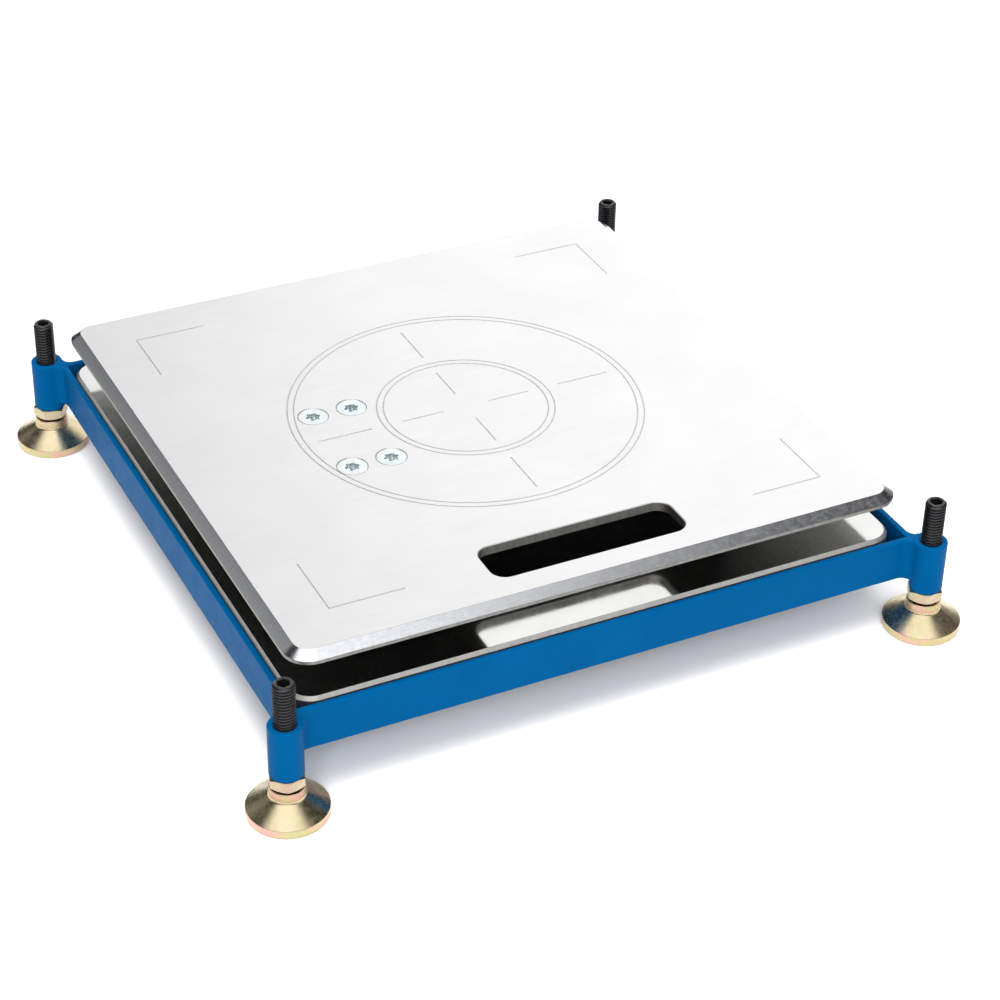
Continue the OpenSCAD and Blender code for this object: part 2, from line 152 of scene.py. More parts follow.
def make_floor():
    """A wide, pale, dull floor under the feet."""
    bpy.ops.mesh.primitive_plane_add(size=16, location=(0, 0, 0))
    floor = bpy.context.object
    floor.name = "floor"
    pale = bpy.data.materials.new("pale_floor")
    pale.use_nodes = True
    shader = pale.node_tree.nodes["Principled BSDF"]
    shader.inputs["Base Color"].default_value = FLOOR_COLOR
    shader.inputs["Roughness"].default_value = 0.85
    shader.inputs["Specular IOR Level"].default_value = 0.1
    floor.data.materials.append(pale)


def panel_light(name, place, size, power):
    """A square soft light that looks at the object."""
    light = bpy.data.lights.new(name, "AREA")
    light.size = size
    light.energy = power
    lamp = bpy.data.objects.new(name, light)
    lamp.location = place
    lamp.rotation_mode = "QUATERNION"
    lamp.rotation_quaternion = Vector(place).to_track_quat("Z", "Y")
    lamp.visible_glossy = False
    bpy.context.scene.collection.objects.link(lamp)


make_camera()
make_world()
make_floor()
panel_light("overhead", (-0.3, -0.2, 2.6), 1.8, 66)
panel_light("front", (-1.1, -2.3, 1.5), 1.5, 50)
bpy.context.scene.view_settings.view_transform = "Standard"


# ---------------------------------------------------------------- materials

class Finish:
    """A material whose colour, roughness and relief vary with noise fixed to the piece."""

    def __init__(self, name, color, metallic, rough, **sockets):
        self.mat = bpy.data.materials.new(name)
        self.mat.use_nodes = True
        self.tree = self.mat.node_tree
        self.shader = self.tree.nodes["Principled BSDF"]
        self.shader.inputs["Base Color"].default_value = (*color, 1)
        self.shader.inputs["Metallic"].default_value = metallic
        self.shader.inputs["Roughness"].default_value = rough
        for key, value in sockets.items():
            self.shader.inputs[key.replace("_", " ")].default_value = value
        self.coords = self.tree.nodes.new("ShaderNodeTexCoord").outputs["Object"]

    def node(self, kind, links=None, **settings):
        """A shader node. Its inputs in links are joined to a socket or set to a value."""
        made = self.tree.nodes.new(kind)
        for key, value in settings.items():
            setattr(made, key, value)
        for key, value in (links or {}).items():
            if isinstance(value, bpy.types.NodeSocket):
                self.tree.links.new(value, made.inputs[key])
            else:
                made.inputs[key].default_value = value
        return made

    def noise(self, size, stretch=(1, 1, 1), detail=3, rough=0.55):
        """Noise whose features are about size millimetres, longer where stretch is above 1."""
        scale = [1 / s for s in stretch]
        where = self.node("ShaderNodeVectorMath", {0: self.coords, 1: scale}, operation="MULTIPLY")
        made = self.node("ShaderNodeTexNoise",
                         {"Vector": where.outputs[0], "Scale": 1 / (size * MM), "Detail": detail,
                          "Roughness": rough})
        return made.outputs["Fac"]

    def span(self, value, low, high, start=0.3, end=0.7):
        """The value from start to end, mapped to low to high."""
        made = self.node("ShaderNodeMapRange", {"Value": value, "From Min": start, "From Max": end,
                                                "To Min": low, "To Max": high})
        return made.outputs["Result"]

    def blend(self, factor, a, b):
        """Colour a where the factor is 0 and colour b where it is 1."""
        made = self.node("ShaderNodeMix", {0: factor}, data_type="RGBA")
        for socket, value in ((made.inputs[6], a), (made.inputs[7], b)):
            if isinstance(value, bpy.types.NodeSocket):
                self.tree.links.new(value, socket)
            else:
                socket.default_value = (*value, 1)
        return made.outputs[2]

    def color(self, socket):
        """Takes the colour from a socket."""
        self.tree.links.new(socket, self.shader.inputs["Base Color"])
        return self

    def rough(self, socket):
        """Takes the roughness from a socket."""
        self.tree.links.new(socket, self.shader.inputs["Roughness"])
        return self

    def relief(self, height, depth):
        """Adds bumps up to depth millimetres high to those already there."""
        made = self.node("ShaderNodeBump", {"Height": height, "Distance": depth * MM, "Strength": 1.0})
        normal = self.shader.inputs["Normal"]
        if normal.is_linked:
            self.tree.links.new(normal.links[0].from_socket, made.inputs["Normal"])
        self.tree.links.new(made.outputs["Normal"], normal)
        return self


def powder_coat():
    """Blue paint with a fine orange peel over slow waves, and a faint blue sheen."""
    f = Finish("blue_powder_coat", (0.0, 0.077, 0.222), 0.0, 0.42, Specular_IOR_Level=0.025,
               Specular_Tint=(0.05, 0.55, 1.0, 1.0))
    f.color(f.blend(f.span(f.noise(30), 0, 1), (0.0, 0.073, 0.212), (0.0, 0.081, 0.232)))
    f.rough(f.span(f.noise(9), 0.38, 0.48))
    return f.relief(f.noise(1.1, detail=2), 0.05).relief(f.noise(6, detail=1), 0.10).mat


def milled_plate():
    """The top plate's faces, with cutter streaks along X."""
    f = Finish("milled_aluminium", (0.86, 0.865, 0.875), 1.0, 0.36)
    streak = f.noise(0.5, (60, 1, 1), detail=4)
    f.color(f.blend(f.span(f.noise(55), 0, 1), (0.845, 0.85, 0.86), (0.885, 0.888, 0.895)))
    f.rough(f.span(streak, 0.33, 0.41))
    return f.relief(streak, 0.003).mat


def brushed_bevel():
    """The bevel round the top plate, smoother than its faces and streaked along its edges."""
    f = Finish("brushed_bevel", (0.70, 0.71, 0.72), 1.0, 0.2)
    streak = f.noise(0.35, (14, 14, 1), detail=5, rough=0.7)
    f.color(f.blend(f.span(streak, 0, 1), (0.64, 0.66, 0.70), (0.77, 0.79, 0.83)))
    f.rough(f.span(f.noise(3), 0.15, 0.24))
    return f.relief(streak, 0.002).mat


def sawn_and_shaded_edge():
    """The top plate's upright edge, slot walls and underside, with saw marks; their dark colour is painted
    shade.
    """
    # A dark colour for aluminium: painted shade.
    f = Finish("sawn_and_shaded_edge", (0.23, 0.225, 0.21), 1.0, 0.44)
    f.color(f.blend(f.span(f.noise(2.5, (1, 1, 3)), 0, 1), (0.19, 0.185, 0.17), (0.27, 0.265, 0.25)))
    return f.relief(f.noise(0.3, (1, 1, 4)), 0.004).mat


def engraved_line():
    # Groove faces: darker than the plate's top, as painted shade in the engraved recess.
    f = Finish("engraved_line", (0.78, 0.79, 0.80), 1.0, 0.48)
    f.color(f.blend(f.span(f.noise(1.5), 0, 1), (0.72, 0.73, 0.74), (0.84, 0.85, 0.86)))
    return f.relief(f.noise(0.3), 0.01).mat


def rolled_plate():
    """The base plate's bright mill finish, with its grain along Y and a few smudges."""
    f = Finish("rolled_aluminium", (0.67, 0.675, 0.67), 1.0, 0.1)
    grain = f.noise(0.6, (1, 45, 1), detail=5, rough=0.6)
    cloud = f.noise(28, detail=4)
    f.color(f.blend(f.span(cloud, 0, 1), (0.63, 0.635, 0.63), (0.71, 0.715, 0.71)))
    smudge = f.span(cloud, 0.05, 0.13)
    both = f.node("ShaderNodeMath", {0: smudge, 1: f.span(grain, -0.02, 0.03)}, operation="ADD")
    f.rough(both.outputs[0])
    return f.relief(grain, 0.0015).relief(f.noise(40, detail=1), 0.05).mat


def satin_edge():
    """The base plate's chamfer and upright edge."""
    f = Finish("satin_edge", (0.70, 0.69, 0.67), 1.0, 0.5)
    f.color(f.blend(f.span(f.noise(3), 0, 1), (0.64, 0.63, 0.61), (0.76, 0.75, 0.73)))
    return f.relief(f.noise(0.4), 0.004).mat


def cast_cell():
    f = Finish("cell_aluminium", (0.66, 0.67, 0.69), 1.0, 0.38)
    f.rough(f.span(f.noise(0.7, (30, 1, 1)), 0.30, 0.45))
    return f.relief(f.noise(0.5, (40, 1, 1)), 0.006).mat


def bright_zinc():
    f = Finish("zinc_screw", (0.74, 0.80, 0.83), 1.0, 0.26)
    f.color(f.blend(f.span(f.noise(4), 0, 1), (0.66, 0.74, 0.79), (0.82, 0.86, 0.87)))
    f.rough(f.span(f.noise(1.2), 0.20, 0.34))
    return f.relief(f.noise(0.4), 0.006).mat


def yellow_zinc(name, share=1.0):
    """Yellow passivated zinc. The share darkens it as painted shade, for upright faces that reflect the
    bright floor.
    """
    gold, straw, green, pink = [tuple(share * c for c in color) for color in (
        (0.60, 0.53, 0.32), (0.72, 0.59, 0.42), (0.52, 0.53, 0.28), (0.70, 0.44, 0.38))]
    f = Finish(name, gold, 1.0, 0.3)
    tint = f.span(f.noise(14, detail=4, rough=0.6), 0, 1, 0.38, 0.66)
    warm = f.blend(tint, gold, straw)
    patch = f.span(f.noise(9, (1, 1, 0.5), detail=3), 0, 0.6, 0.5, 0.72)
    patched = f.blend(patch, warm, green)
    blush = f.span(f.noise(17, detail=2), 0, 0.5, 0.52, 0.7)
    f.color(f.blend(blush, patched, pink))
    f.rough(f.span(f.noise(3.5, detail=4), 0.22, 0.33))
    return f.relief(f.noise(0.5, detail=3), 0.003).mat


def blushed_and_shaded_zinc():
    """The same plating where it is thickest, at the foot's rim: pink and green, and darker as painted
    shade, since these upright faces reflect the bright floor.
    """
    f = Finish("blushed_and_shaded_zinc", (0.62, 0.40, 0.33), 1.0, 0.3)
    tint = f.span(f.noise(10, (1, 1, 0.6), detail=3), 0, 1, 0.40, 0.60)
    f.color(f.blend(tint, (0.52, 0.47, 0.24), (0.66, 0.38, 0.33)))
    f.rough(f.span(f.noise(2.5, detail=4), 0.24, 0.36))
    return f.relief(f.noise(0.5, detail=3), 0.004).mat


def black_oxide():
    f = Finish("black_oxide", (0.006, 0.006, 0.007), 0.0, 0.28, Specular_IOR_Level=0.7)
    f.color(f.blend(f.span(f.noise(2.2), 0, 1), (0.004, 0.004, 0.005), (0.009, 0.009, 0.011)))
    f.rough(f.span(f.noise(1.6, detail=4), 0.22, 0.36))
    return f.relief(f.noise(0.25, detail=3), 0.004).mat


def bright_steel():
    f = Finish("bright_steel", (0.60, 0.60, 0.61), 1.0, 0.25)
    f.rough(f.span(f.noise(1.5), 0.18, 0.34))
    return f.relief(f.noise(0.4, (8, 8, 1)), 0.004).mat


def moulded(name, low, high, rough, grain=0.45, depth=0.02):
    """Plastic, rubber or paint between two colours, with a grain and its depth in millimetres."""
    f = Finish(name, low, 0.0, rough)
    f.color(f.blend(f.span(f.noise(8), 0, 1), low, high))
    f.rough(f.span(f.noise(3), rough * 0.88, rough * 1.12))
    return f.relief(f.noise(grain, detail=2), depth).mat


def clear_lens():
    f = Finish("lens_green", (0.04, 0.50, 0.10), 0.0, 0.08, Transmission_Weight=0.4)
    f.rough(f.span(f.noise(1.0), 0.05, 0.12))
    return f.mat


MATERIALS = {
    "blue_powder_coat": powder_coat(),
    "milled_aluminium": milled_plate(),
    "rolled_aluminium": rolled_plate(),
    "cell_aluminium": cast_cell(),
    "zinc_screw": bright_zinc(),
    "yellow_zinc_steel": yellow_zinc("yellow_zinc"),
    "black_oxide_steel": black_oxide(),
    "bright_steel": bright_steel(),
    "nylon": moulded("nylon", (0.74, 0.73, 0.66), (0.82, 0.81, 0.75), 0.5),
    "sealant": moulded("sealant", (0.70, 0.69, 0.62), (0.78, 0.77, 0.70), 0.6, 2.0, 0.08),
    "black_rubber": moulded("black_rubber", (0.018, 0.018, 0.019), (0.034, 0.034, 0.035), 0.72),
    "dark_moulding": moulded("dark_moulding", (0.035, 0.036, 0.040), (0.052, 0.053, 0.058), 0.5),
    "board_green": moulded("board_green", (0.010, 0.13, 0.05), (0.016, 0.18, 0.07), 0.32, 1.2, 0.01),
    "cell_wrap": moulded("cell_wrap", (0.55, 0.26, 0.03), (0.66, 0.33, 0.05), 0.3, 2.0, 0.01),
    "cable_jacket": moulded("cable_jacket", (0.016, 0.016, 0.017), (0.028, 0.028, 0.03), 0.55),
    "lens_green": clear_lens(),
    "button_red": moulded("button_red", (0.42, 0.02, 0.02), (0.52, 0.03, 0.03), 0.28, 1.0, 0.005),
}
BEVEL_METAL = brushed_bevel()
EDGE_METAL = sawn_and_shaded_edge()
GROOVE_METAL = engraved_line()
SATIN_METAL = satin_edge()
# The rim's zinc: a pink and green tint, and darker as painted shade.
RIM_ZINC = blushed_and_shaded_zinc()
# The nut's zinc, darkened by the share as painted shade.
SHADED_NUT_ZINC = yellow_zinc("shaded_nut_zinc", 0.76)


# ---------------------------------------------------------------- mesh helpers

def add_mesh(name, points, faces):
    mesh = bpy.data.meshes.new(name)
    mesh.from_pydata([(x * MM, y * MM, z * MM) for x, y, z in points], [], faces)
    obj = bpy.data.objects.new(name, mesh)
    bpy.context.scene.collection.objects.link(obj)
    return obj


def clean(obj, reach=0.002):
    """Joins points closer than reach millimetres and turns every face outwards."""
    bm = bmesh.new()
    bm.from_mesh(obj.data)
    bmesh.ops.remove_doubles(bm, verts=bm.verts, dist=reach * MM)
    bmesh.ops.dissolve_degenerate(bm, edges=bm.edges, dist=reach * MM / 4)
    bmesh.ops.recalc_face_normals(bm, faces=bm.faces)
    bm.to_mesh(obj.data)
    bm.free()
    return obj


def bake(obj):
    """Applies the modifiers of an object."""
    graph = bpy.context.evaluated_depsgraph_get()
    mesh = bpy.data.meshes.new_from_object(obj.evaluated_get(graph))
    obj.modifiers.clear()
    obj.data = mesh
    return obj


def carve(obj, cutter, operation="DIFFERENCE"):
    """Cuts the cutter out of obj, or joins or intersects the two, and deletes the cutter."""
    change = obj.modifiers.new("carve", "BOOLEAN")
    change.operation = operation
    change.solver = "EXACT"
    change.object = cutter
    bake(obj)
    bpy.data.objects.remove(cutter)
    return obj


def soften(obj, width, angle=30):
    """Rounds the edges sharper than angle degrees by width millimetres."""
    change = obj.modifiers.new("soften", "BEVEL")
    change.width = width * MM
    change.segments = 2
    change.limit_method = "ANGLE"
    change.angle_limit = math.radians(angle)
    change.use_clamp_overlap = True
    return bake(obj)


def shade(obj, angle=38):
    """Smooth shading that keeps flat faces flat and edges over angle sharp."""
    obj.data.shade_smooth()
    obj.data.set_sharp_from_angle(angle=math.radians(angle))
    weigh = obj.modifiers.new("weigh", "WEIGHTED_NORMAL")
    weigh.keep_sharp = True
    return bake(obj)


def loft(name, rings, closed=False):
    """A solid through rings with the same number of points. If closed, the last meets the first."""
    n = len(rings[0])
    points = [p for ring in rings for p in ring]
    faces = []
    for i in range(len(rings) if closed else len(rings) - 1):
        a, b = i * n, (i + 1) % len(rings) * n
        faces += [(a + k, a + (k + 1) % n, b + (k + 1) % n, b + k) for k in range(n)]
    if not closed:
        faces += [tuple(reversed(range(n))), tuple(range(len(points) - n, len(points)))]
    return clean(add_mesh(name, points, faces))


def revolve(name, outline, centre=(0, 0, 0), steps=64):
    """A turned solid: outline is a closed list of (radius, height)."""
    rings = []
    for k in range(steps):
        c, s = math.cos(math.tau * k / steps), math.sin(math.tau * k / steps)
        rings.append([(centre[0] + r * c, centre[1] + r * s, centre[2] + z) for r, z in outline])
    return loft(name, rings, closed=True)


def rounded(points, radii, steps=3):
    """A closed outline with each corner replaced by an arc of its radius, where that isn't 0."""
    out = []
    for i, (corner, radius) in enumerate(zip(points, radii)):
        if radius == 0:
            out.append(tuple(corner))
            continue
        here = Vector(corner)
        a = (Vector(points[i - 1]) - here).normalized()
        b = (Vector(points[(i + 1) % len(points)]) - here).normalized()
        half = a.angle(b) / 2
        centre = here + (a + b).normalized() * (radius / math.sin(half))
        u = here + a * (radius / math.tan(half)) - centre
        v = here + b * (radius / math.tan(half)) - centre
        sweep = math.pi - 2 * half
        for k in range(steps + 1):
            t = k / steps
            point = centre + (u * math.sin((1 - t) * sweep) + v * math.sin(t * sweep)) / math.sin(sweep)
            out.append(tuple(point))
    return out


def box_ring(half_x, half_y, radius, z, centre, steps=9):
    """A level ring: a rectangle with round corners."""
    ring = []
    for quarter, (x, y) in enumerate(((1, 1), (-1, 1), (-1, -1), (1, -1))):
        for k in range(steps + 1):
            a = math.pi / 2 * (quarter + k / steps)
            ring.append((centre[0] + x * (half_x - radius) + radius * math.cos(a),
                         centre[1] + y * (half_y - radius) + radius * math.sin(a), z))
    return ring


def merge(name, parts):
    """Several objects made into one mesh."""
    bm = bmesh.new()
    for part in parts:
        part.data.transform(part.matrix_world)
        bm.from_mesh(part.data)
        bpy.data.objects.remove(part)
    mesh = bpy.data.meshes.new(name)
    bm.to_mesh(mesh)
    bm.free()
    obj = bpy.data.objects.new(name, mesh)
    bpy.context.scene.collection.objects.link(obj)
    return obj


def moved(obj, x=0, y=0, z=0, turn=0):
    """Turns obj's mesh about the Z axis by turn degrees, then moves it by millimetres."""
    turned = Matrix.Rotation(math.radians(turn), 4, "Z")
    obj.data.transform(Matrix.Translation(Vector((x, y, z)) * MM) @ turned)
    return obj


def twin(obj, name):
    """A copy of obj with its own mesh."""
    copy = obj.copy()
    copy.data = obj.data.copy()
    copy.name = name
    bpy.context.scene.collection.objects.link(copy)
    return copy


def fit_out(obj, body, slot, nodes, materials=None):
    """Gives a piece the material of its slot, or the materials given, hangs it under its body, and hides
    the CAD nodes it stands for.
    """
    obj.data.materials.clear()
    for material in materials or [MATERIALS[slot]]:
        obj.data.materials.append(material)
    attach(obj, body)
    if nodes:
        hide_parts(*nodes)
    return obj


SLOTS = {part["node"]: part["material_slot"] for part in frame["record"]["subparts"]}
BODY_OF = {node: body for body, nodes in frame["record"]["behaviour"]["bodies"].items()
           for node in nodes}


def refined(node, width):
    """A piece made from a CAD node: its flat faces whole again, and its edges rounded."""
    source = frame["nodes"][node]
    obj = bpy.data.objects.new(node + "_detail", source.data.copy())
    bpy.context.scene.collection.objects.link(obj)
    clean(obj)
    bm = bmesh.new()
    bm.from_mesh(obj.data)
    bmesh.ops.dissolve_limit(bm, angle_limit=math.radians(0.8), verts=bm.verts, edges=bm.edges)
    bm.to_mesh(obj.data)
    bm.free()
    return shade(soften(obj, width))


# ---------------------------------------------------------------- top plate

LAND = 2.25                              # height of the plate's upright edge
BEVEL = 6.0                              # width of the bevel round the top
PLATE_R = 15.5                           # radius of the plate's corners
plate_half = (plate_high.x - plate_low.x) / 2
slot_low, slot_high = (Vector(v) / MM for v in frame["record"]["physics"]["openings"][0]["box_m"])
SLOT_R = 9
SLOT_HALF = (61, 15.6)                   # half the slot's length and width
SLOT_Y = (slot_low.y + slot_high.y) / 2
HEAD_R = 9.0
HEAD_DROP = 0.25                         # how far the heads sit below the plate's top
GROOVE_W, GROOVE_D = 1.1, 0.20
TOP_FACES, BEVEL_FACES, GROOVE_FACES, EDGE_FACES = range(4)      # the plate's material indices


def head_centres(low, high):
    """The axes of the four screws whose heads touch the sides of the box from low to high."""
    return [(x, y) for x in (low.x + HEAD_R, high.x - HEAD_R) for y in (low.y + HEAD_R, high.y - HEAD_R)]


def groove(points, closed=False):
    """A cutter with a V section along a level line of points on the plate's top."""
    over = 0.3                           # how far the cutter stands above the plate
    half = GROOVE_W / 2 * (1 + over / GROOVE_D)
    rings = []
    for i, here in enumerate(points):
        here = Vector(here)
        back = Vector(points[i - 1]) if closed or i else None
        ahead = Vector(points[(i + 1) % len(points)]) if closed or i + 1 < len(points) else None
        a = (here - back).normalized() if back is not None else (ahead - here).normalized()
        b = (ahead - here).normalized() if ahead is not None else a
        along = (a + b).normalized()
        side = Vector((-along.y, along.x)) / along.dot(a)
        rings.append([(here.x + side.x * k, here.y + side.y * k, z) for k, z in
                      ((half, PLATE_TOP + over), (0, PLATE_TOP - GROOVE_D), (-half, PLATE_TOP + over))])
    return loft("groove", rings, closed)


def circle(radius, steps=96):
    """A ring of points round the plate's centre."""
    angles = [math.tau * k / steps for k in range(steps)]
    return [(PLATE_X + radius * math.cos(a), radius * math.sin(a)) for a in angles]


def engraving():
    """A plain centring target: rings, cross-lines and corner marks."""
    ring_radii = (50, 54, 104, 108)
    mark, tip = 155, 110                 # where a corner mark bends, and where it ends
    cross_spans = ((15, 42), (62, 96))   # the cross-lines' start and end, from the centre
    cutters = [groove(circle(r), closed=True) for r in ring_radii]
    for x in (-1, 1):
        for y in (-1, 1):
            cutters.append(groove([(PLATE_X + x * tip, y * mark), (PLATE_X + x * mark, y * mark),
                                   (PLATE_X + x * mark, y * tip)]))
    for ux, uy in ((1, 0), (-1, 0), (0, 1), (0, -1)):
        for start, end in cross_spans:
            cutters.append(groove([(PLATE_X + ux * start, uy * start), (PLATE_X + ux * end, uy * end)]))
    return merge("engraving", cutters)


def make_top_plate():
    """The bevelled plate with its slot, countersinks and engraving, and a finish for each kind of face."""
    low, top = plate_low.z, PLATE_TOP
    edge = [(0.45, low), (0.13, low + 0.13), (0, low + 0.45),
            (0, low + LAND - 0.18), (0.10, low + LAND + 0.08),
            (BEVEL - 0.16, top - 0.10), (BEVEL + 0.10, top)]
    plate = loft("top_plate_detail", [
        box_ring(plate_half - inset, plate_half - inset, PLATE_R - inset, z, (PLATE_X, 0))
        for inset, z in edge])
    flare = [(1.4, low - 1), (0.4, low), (0, low + 0.4), (0, top - 0.5), (0.5, top), (1.5, top + 1)]
    carve(plate, loft("slot", [
        box_ring(SLOT_HALF[0] + out, SLOT_HALF[1] + out, SLOT_R + out, z, (PLATE_X, SLOT_Y), 7)
        for out, z in flare]))
    bore, rim_r = 5.25, HEAD_R + 0.35
    sink = rim_r - bore                  # a cone of 45 degrees
    outline = [(0, low - 1), (bore, low - 1), (bore, top - 0.3 - sink), (rim_r, top - 0.3),
               (rim_r, top - 0.15), (rim_r + 1.15, top + 1), (0, top + 1)]
    carve(plate, merge("sinks", [revolve("sink", outline, (x, y, 0), 48)
                                 for x, y in head_centres(*box_mm("plate_screws"))]))
    carve(plate, engraving())
    shade(plate, 20)
    fit_out(plate, "pad", "milled_aluminium", ["top_plate"],
            [MATERIALS["milled_aluminium"], BEVEL_METAL, GROOVE_METAL, EDGE_METAL])
    for face in plate.data.polygons:
        middle = face.center / MM
        inside = min(plate_half - abs(middle.x - PLATE_X), plate_half - abs(middle.y))
        corner = Vector((max(0, abs(middle.x - PLATE_X) - plate_half + PLATE_R),
                         max(0, abs(middle.y) - plate_half + PLATE_R)))
        inside = min(inside, PLATE_R - corner.length)
        level = abs(face.normal.z)
        # The upright edge, the slot walls and the underside get the dark edge finish, which is painted
        # shade.
        if inside < 0.15 and level < 0.98 and middle.z < low + LAND:
            face.material_index = EDGE_FACES
        elif inside < BEVEL + 0.2 and level < 0.98:
            face.material_index = BEVEL_FACES
        # Groove faces get the darker groove finish, which is painted shade.
        elif 0.5 < level < 0.98 and middle.z > top - 0.45:
            face.material_index = GROOVE_FACES
        elif level <= 0.5 or middle.z < low + 0.01:
            face.material_index = EDGE_FACES
        else:
            face.material_index = TOP_FACES


def lobed_ring(radius, z, x, y, steps=72):
    """A six-lobed outline, for the screws' sockets."""
    ring = []
    lobe = 0.14                          # share of the radius between a lobe's tip and the mean
    for k in range(steps):
        a = math.tau * k / steps
        r = radius * (0.86 + lobe * math.cos(6 * a))
        ring.append((x + r * math.cos(a), y + r * math.sin(a), z))
    return ring


def make_flat_screws(node, up):
    """Four countersunk screws with lobed sockets. Their heads look up or down."""
    low, high = box_mm(node)
    face = high.z - HEAD_DROP if up else low.z
    away = -1 if up else 1
    length = high.z - low.z
    shank_r = 4.95
    outline = [(0, 0), (HEAD_R - 0.35, 0), (HEAD_R - 0.1, 0.08), (HEAD_R, 0.3), (shank_r, 4.2),
               (shank_r, length - 1), (shank_r - 0.85, length), (0, length)]
    screws = []
    for x, y in head_centres(low, high):
        screw = revolve("screw", [(r, away * z) for r, z in outline], (x, y, face), 48)
        socket = loft("socket", [lobed_ring(r, face + away * z, x, y) for r, z in
                                 ((5.2, -1), (4.65, 0), (4.3, 0.35), (4.3, 2.9), (2.0, 3.4))])
        carve(screw, socket)
        screws.append(screw)
    obj = shade(merge(node + "_detail", screws), 32)
    fit_out(obj, "pad", "zinc_screw", [node])


make_top_plate()
make_flat_screws("plate_screws", True)
make_flat_screws("base_screws", False)


# ---------------------------------------------------------------- welded frame

front_low, front_high = box_mm("frame_front")
FRAME_OUT = front_high.x
BAR_T = 3.6                              # thickness of the angle
FRAME_IN = FRAME_OUT - BAR_T
LEDGE = FRAME_OUT - (front_high.y - front_low.y)
BAR_LOW, BAR_TOP = front_low.z, front_high.z
tube_low, tube_high = box_mm("tube_fr")
JACK = (tube_low.x + tube_high.x) / 2
TUBE_R = (tube_high.x - tube_low.x) / 2
BORE_R = 6.25
STRAIGHT = LEDGE - 2                     # half length of the straight bars
WELD_R = 6.0                             # radius of the fillet between a bar and a tube
PAINT_ANGLE = 50                         # edges of painted pieces under this many degrees look round


def bar_section():
    """The angle's outline as (path, inset, height), with rounded edges and a filleted root."""
    edge_r, root_r = 0.8, 2.6
    quarter = [math.radians(a) for a in (0, 30, 60, 90)]
    ledge_top = BAR_LOW + BAR_T

    def edge(path, z, away, steps):
        return [(path, edge_r * (1 - math.cos(a)), z + away * edge_r * (1 - math.sin(a))) for a in steps]

    section = edge("outer", BAR_LOW, 1, quarter[::-1]) + edge("outer", BAR_TOP, -1, quarter)
    section += edge("inner", BAR_TOP, -1, quarter[::-1])
    section += [("inner", root_r * (math.cos(a) - 1), ledge_top + root_r * (1 - math.sin(a)))
                for a in quarter]
    section += edge("ledge", ledge_top, -1, quarter[::-1]) + edge("ledge", BAR_LOW, 1, quarter)
    return section + [("inner", 0.0, BAR_LOW)]


def sweep(name, stations):
    """Sweeps the angle's section through stations: path name to (point, outward normal)."""
    section = bar_section()
    rings = []
    for station in stations:
        ring = []
        for path, inset, z in section:
            point, normal = station[path]
            ring.append((point[0] - normal[0] * inset, point[1] - normal[1] * inset, z))
        rings.append(ring)
    return loft(name, rings)


def corner_stations():
    """The stations round the corner at +X +Y, from the bar along X to the bar along Y."""
    fillet_y = FRAME_OUT + WELD_R
    fillet = (JACK - math.sqrt((WELD_R + TUBE_R) ** 2 - (fillet_y - JACK) ** 2), fillet_y)
    to_tube = math.atan2(JACK - fillet[1], JACK - fillet[0])
    first = [((STRAIGHT, FRAME_OUT), (0, 1))]
    steps = 7
    for k in range(steps + 1):
        a = -math.pi / 2 + (to_tube + math.pi / 2) * k / steps
        first.append(((fillet[0] + WELD_R * math.cos(a), fillet[1] + WELD_R * math.sin(a)),
                      (-math.cos(a), -math.sin(a))))
    at_tube = len(first) - 1             # the station where the fillet meets the tube
    hidden_r = (TUBE_R + BORE_R) / 2     # the rest runs inside the tube's wall, out of sight
    start = to_tube + math.pi
    diagonal = math.radians(225)
    for k in range(4):
        a = start + (diagonal - start) * k / 3
        first.append(((JACK + hidden_r * math.cos(a), JACK + hidden_r * math.sin(a)),
                      (0.0, 0.0) if k == 3 else (0.35, 0.9)))
    near = 0.99                          # share of the way to the mitre that is covered at the tube
    stations = []
    for n, (point, normal) in enumerate(first):
        if n <= at_tube:
            t = near * (point[0] - STRAIGHT) / (first[at_tube][0][0] - STRAIGHT)
        else:
            t = near + (1 - near) * (n - at_tube) / (len(first) - 1 - at_tube)
        inward = (-1, -1) if n == len(first) - 1 else (0, -1)
        stations.append({"outer": (point, normal),
                         "inner": ((STRAIGHT + (FRAME_IN - STRAIGHT) * t, FRAME_IN), inward),
                         "ledge": ((STRAIGHT + (LEDGE - STRAIGHT) * t, LEDGE), inward)})
    for station in reversed(stations[:-1]):
        stations.append({path: ((p[1], p[0]), (n[1], n[0])) for path, (p, n) in station.items()})
    return stations


def weld_fillet(x, y, z, up):
    """The painted weld on the corner's top or underside, against the tube's inner side."""
    rings = []
    size = 1.5 if up else 1.0
    spread = 34                          # degrees to each side of the corner's diagonal
    below = 0.04                         # how far the weld stays under the tube's top
    steps = 14
    for k in range(steps + 1):
        a = math.radians(225 + spread * (2 * k / steps - 1))
        full = size * math.sin(math.pi * (k / steps)) ** 0.5 + 0.02
        rise = min(full, tube_high.z - BAR_TOP - below) if up else full
        away = 1 if up else -1
        shape = [(-1.0, -0.6), (full, -0.6), (full, 0.0), (full * 0.42, rise * 0.16),
                 (full * 0.13, rise * 0.45), (0.0, rise), (-1.0, rise)]
        rings.append([(x + (TUBE_R + r) * math.cos(a), y + (TUBE_R + r) * math.sin(a), z + away * h)
                      for r, h in shape])
    return loft("weld", rings)


